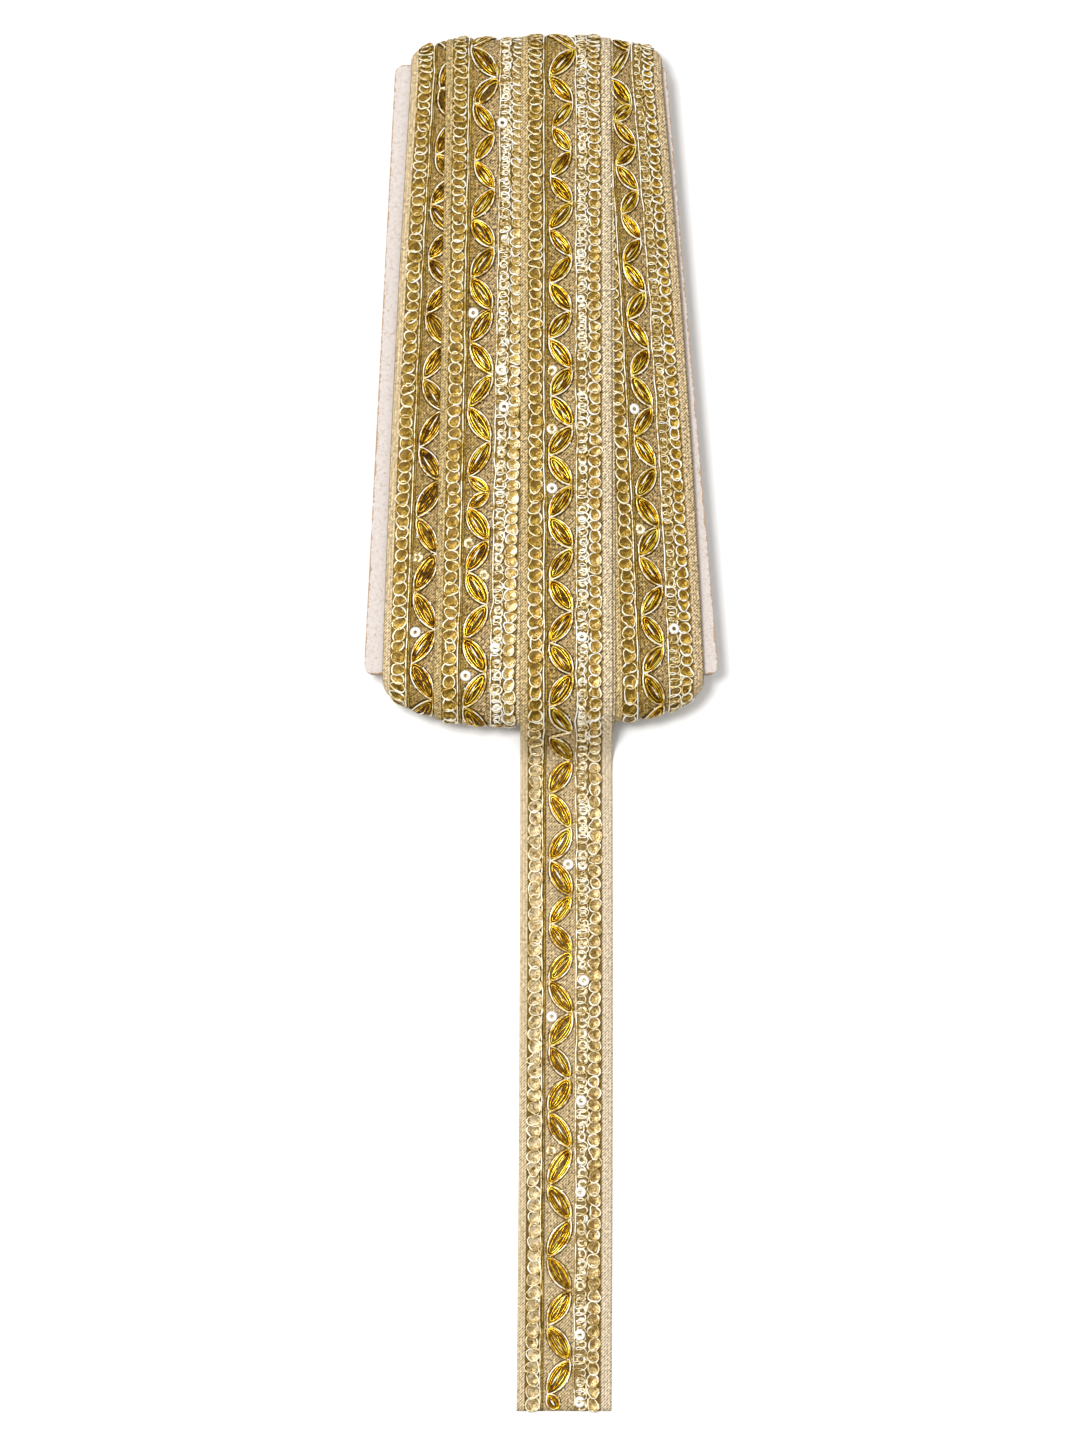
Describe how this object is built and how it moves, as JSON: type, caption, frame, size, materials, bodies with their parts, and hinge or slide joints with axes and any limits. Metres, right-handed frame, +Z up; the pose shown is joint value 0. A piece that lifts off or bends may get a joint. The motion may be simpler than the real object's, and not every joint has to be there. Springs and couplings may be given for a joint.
{
  "type": "sequin trim wound on a card",
  "caption": "Gold sequin and metal-thread trim wound lengthwise on a flat card, with its loose end laid out straight in front.",
  "frame": {"origin": "on the face the roll rests on, under the middle of the roll", "axes": "+Z up from the surface, +Y from the loose end to the far end of the roll, +X to the right of the roll seen from above with the loose end towards the viewer"},
  "size_m": [0.0971, 0.3833, 0.0207],
  "materials": {
    "card": "white board with worn brown edges",
    "winding": "gold tissue tape closely sewn with metal thread and sequins",
    "leaf_vine": "coiled antique gold metal thread",
    "loose_end": "beige net tape with pale gold metal thread and sequins"
  },
  "bodies": {
    "root": {"card": "card", "winding": "winding", "column_a_leaf_vine": "leaf_vine", "column_b_leaf_vine": "leaf_vine", "column_d_leaf_vine": "leaf_vine", "loose_end": "loose_end", "loose_end_leaf_vine": "leaf_vine"}
  },
  "joints": []
}
